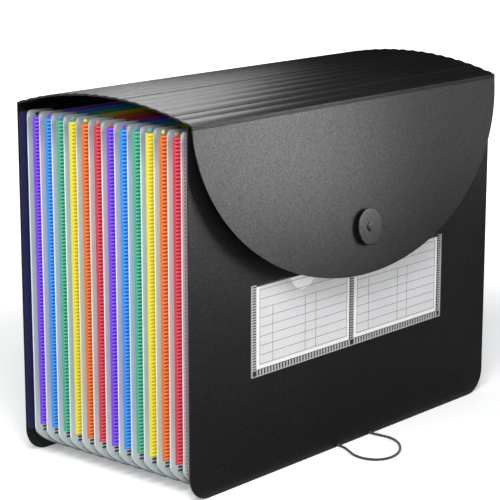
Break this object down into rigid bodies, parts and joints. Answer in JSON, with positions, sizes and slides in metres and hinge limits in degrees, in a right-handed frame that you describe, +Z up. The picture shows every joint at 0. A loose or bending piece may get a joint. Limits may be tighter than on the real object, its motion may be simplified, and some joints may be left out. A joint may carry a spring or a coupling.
{
  "type": "accordion file folder",
  "caption": "Expanding accordion file folder: stiff covers, coloured dividers in a clear pleated bellows, ribbed top that lifts back, rounded flap with button, elastic loop and label pocket.",
  "frame": {"origin": "on the floor, under the middle of the folder's box without its elastic loop", "axes": "+X along the covers, +Y from the front cover to the back cover, +Z up"},
  "size_m": [0.33, 0.1993, 0.2571],
  "materials": {
    "cover": "fine matte grain",
    "button": "satin",
    "bellows_film": "translucent frosted film",
    "clear_film": "clear film",
    "card": "ruled paper card",
    "elastic": "woven elastic",
    "bar": "satin",
    "red": "satin",
    "orange": "satin",
    "yellow": "satin",
    "green": "satin",
    "blue": "satin",
    "purple": "satin"
  },
  "bodies": {
    "front": {"front_cover": "cover", "label_pocket": "clear_film", "cord": "elastic", "cord_end_bars": "bar", "gusset_01": "bellows_film", "gusset_02": "bellows_film", "gusset_03": "bellows_film", "gusset_04": "bellows_film", "gusset_05": "bellows_film", "gusset_06": "bellows_film", "gusset_07": "bellows_film", "gusset_08": "bellows_film", "gusset_09": "bellows_film", "gusset_10": "bellows_film", "gusset_11": "bellows_film", "gusset_12": "bellows_film", "gusset_13": "bellows_film", "weld_margin_01": "red", "weld_margin_02": "orange", "weld_margin_03": "yellow", "weld_margin_04": "green", "weld_margin_05": "blue", "weld_margin_06": "purple", "weld_margin_07": "red", "weld_margin_08": "orange", "weld_margin_09": "yellow", "weld_margin_10": "green", "weld_margin_11": "blue", "weld_margin_12": "purple"},
    "back": {"back_cover": "cover"},
    "lid_rear": {"rear_crease": "cover", "top_strip_rear": "cover"},
    "top_rear": {"top_panel_rear": "cover"},
    "top_middle": {"top_panel_middle": "cover"},
    "top_front": {"top_panel_front": "cover"},
    "lid_front": {"front_crease": "cover", "top_strip_front": "cover"},
    "flap": {"flap": "cover", "button_disc": "button", "button_rivet": "button"},
    "card_left": {"label_card_left": "card"},
    "card_right": {"label_card_right": "card"},
    "divider_01": {"divider_01": "red"},
    "divider_02": {"divider_02": "orange"},
    "divider_03": {"divider_03": "yellow"},
    "divider_04": {"divider_04": "green"},
    "divider_05": {"divider_05": "blue"},
    "divider_06": {"divider_06": "purple"},
    "divider_07": {"divider_07": "red"},
    "divider_08": {"divider_08": "orange"},
    "divider_09": {"divider_09": "yellow"},
    "divider_10": {"divider_10": "green"},
    "divider_11": {"divider_11": "blue"},
    "divider_12": {"divider_12": "purple"}
  },
  "joints": [
    {"name": "bellows_close", "type": "slide", "parent": "front", "child": "back", "axis": [0, -1, 0], "range_m": [0, 0.1167], "deforming": ["gusset_01", "gusset_02", "gusset_03", "gusset_04", "gusset_05", "gusset_06", "gusset_07", "gusset_08", "gusset_09", "gusset_10", "gusset_11", "gusset_12", "gusset_13", "weld_margin_01", "weld_margin_02", "weld_margin_03", "weld_margin_04", "weld_margin_05", "weld_margin_06", "weld_margin_07", "weld_margin_08", "weld_margin_09", "weld_margin_10", "weld_margin_11", "weld_margin_12"]},
    {"name": "divider_01_slide", "type": "slide", "parent": "front", "child": "divider_01", "axis": [0, -1, 0], "range_m": [-0.0005, 0.00928]},
    {"name": "divider_02_slide", "type": "slide", "parent": "front", "child": "divider_02", "axis": [0, -1, 0], "range_m": [-0.0005, 0.01813]},
    {"name": "divider_03_slide", "type": "slide", "parent": "front", "child": "divider_03", "axis": [0, -1, 0], "range_m": [-0.0005, 0.02698]},
    {"name": "divider_04_slide", "type": "slide", "parent": "front", "child": "divider_04", "axis": [0, -1, 0], "range_m": [-0.0005, 0.03584]},
    {"name": "divider_05_slide", "type": "slide", "parent": "front", "child": "divider_05", "axis": [0, -1, 0], "range_m": [-0.0005, 0.04469]},
    {"name": "divider_06_slide", "type": "slide", "parent": "front", "child": "divider_06", "axis": [0, -1, 0], "range_m": [-0.0005, 0.05355]},
    {"name": "divider_07_slide", "type": "slide", "parent": "front", "child": "divider_07", "axis": [0, -1, 0], "range_m": [-0.0005, 0.0624]},
    {"name": "divider_08_slide", "type": "slide", "parent": "front", "child": "divider_08", "axis": [0, -1, 0], "range_m": [-0.0005, 0.07125]},
    {"name": "divider_09_slide", "type": "slide", "parent": "front", "child": "divider_09", "axis": [0, -1, 0], "range_m": [-0.0005, 0.08011]},
    {"name": "divider_10_slide", "type": "slide", "parent": "front", "child": "divider_10", "axis": [0, -1, 0], "range_m": [-0.0005, 0.08896]},
    {"name": "divider_11_slide", "type": "slide", "parent": "front", "child": "divider_11", "axis": [0, -1, 0], "range_m": [-0.0005, 0.09781]},
    {"name": "divider_12_slide", "type": "slide", "parent": "front", "child": "divider_12", "axis": [0, -1, 0], "range_m": [-0.0005, 0.10667]},
    {"name": "cover_lift", "type": "hinge", "parent": "back", "child": "lid_rear", "pos_m": [0, 0.08533, 0.2395], "axis": [-1, 0, 0], "range_deg": [0, 105]},
    {"name": "top_rear_fold", "type": "hinge", "parent": "lid_rear", "child": "top_rear", "pos_m": [0, 0.06817, 0.24908], "axis": [-1, 0, 0], "range_deg": [-1, 101.59]},
    {"name": "top_middle_fold", "type": "hinge", "parent": "top_rear", "child": "top_middle", "pos_m": [0, 0.02427, 0.25557], "axis": [-1, 0, 0], "range_deg": [-101.59, 1]},
    {"name": "top_front_fold", "type": "hinge", "parent": "top_middle", "child": "top_front", "pos_m": [0, -0.01125, 0.25557], "axis": [-1, 0, 0], "range_deg": [-101.59, 1]},
    {"name": "lid_front_fold", "type": "hinge", "parent": "top_front", "child": "lid_front", "pos_m": [0, -0.05515, 0.24908], "axis": [-1, 0, 0], "range_deg": [-1, 101.59]},
    {"name": "flap_lift", "type": "hinge", "parent": "lid_front", "child": "flap", "pos_m": [0, -0.07248, 0.24281], "axis": [-1, 0, 0], "range_deg": [0, 110]},
    {"name": "card_left_slide", "type": "slide", "parent": "front", "child": "card_left", "axis": [0, 0, 1], "range_m": [0, 0.07]},
    {"name": "card_right_slide", "type": "slide", "parent": "front", "child": "card_right", "axis": [0, 0, 1], "range_m": [0, 0.07]}
  ],
  "couplings": [
    {"joint": "divider_01_slide", "follows": "bellows_close", "ratio": 0.075213},
    {"joint": "divider_02_slide", "follows": "bellows_close", "ratio": 0.15108},
    {"joint": "divider_03_slide", "follows": "bellows_close", "ratio": 0.22695},
    {"joint": "divider_04_slide", "follows": "bellows_close", "ratio": 0.30281},
    {"joint": "divider_05_slide", "follows": "bellows_close", "ratio": 0.37868},
    {"joint": "divider_06_slide", "follows": "bellows_close", "ratio": 0.45454},
    {"joint": "divider_07_slide", "follows": "bellows_close", "ratio": 0.53041},
    {"joint": "divider_08_slide", "follows": "bellows_close", "ratio": 0.60628},
    {"joint": "divider_09_slide", "follows": "bellows_close", "ratio": 0.68215},
    {"joint": "divider_10_slide", "follows": "bellows_close", "ratio": 0.75801},
    {"joint": "divider_11_slide", "follows": "bellows_close", "ratio": 0.83388},
    {"joint": "divider_12_slide", "follows": "bellows_close", "ratio": 0.90975},
    {"joint": "top_rear_fold", "follows": "bellows_close", "rad_per_m": 15.045},
    {"joint": "top_middle_fold", "follows": "bellows_close", "rad_per_m": -15.045},
    {"joint": "top_front_fold", "follows": "bellows_close", "rad_per_m": -15.045},
    {"joint": "lid_front_fold", "follows": "bellows_close", "rad_per_m": 15.045}
  ]
}
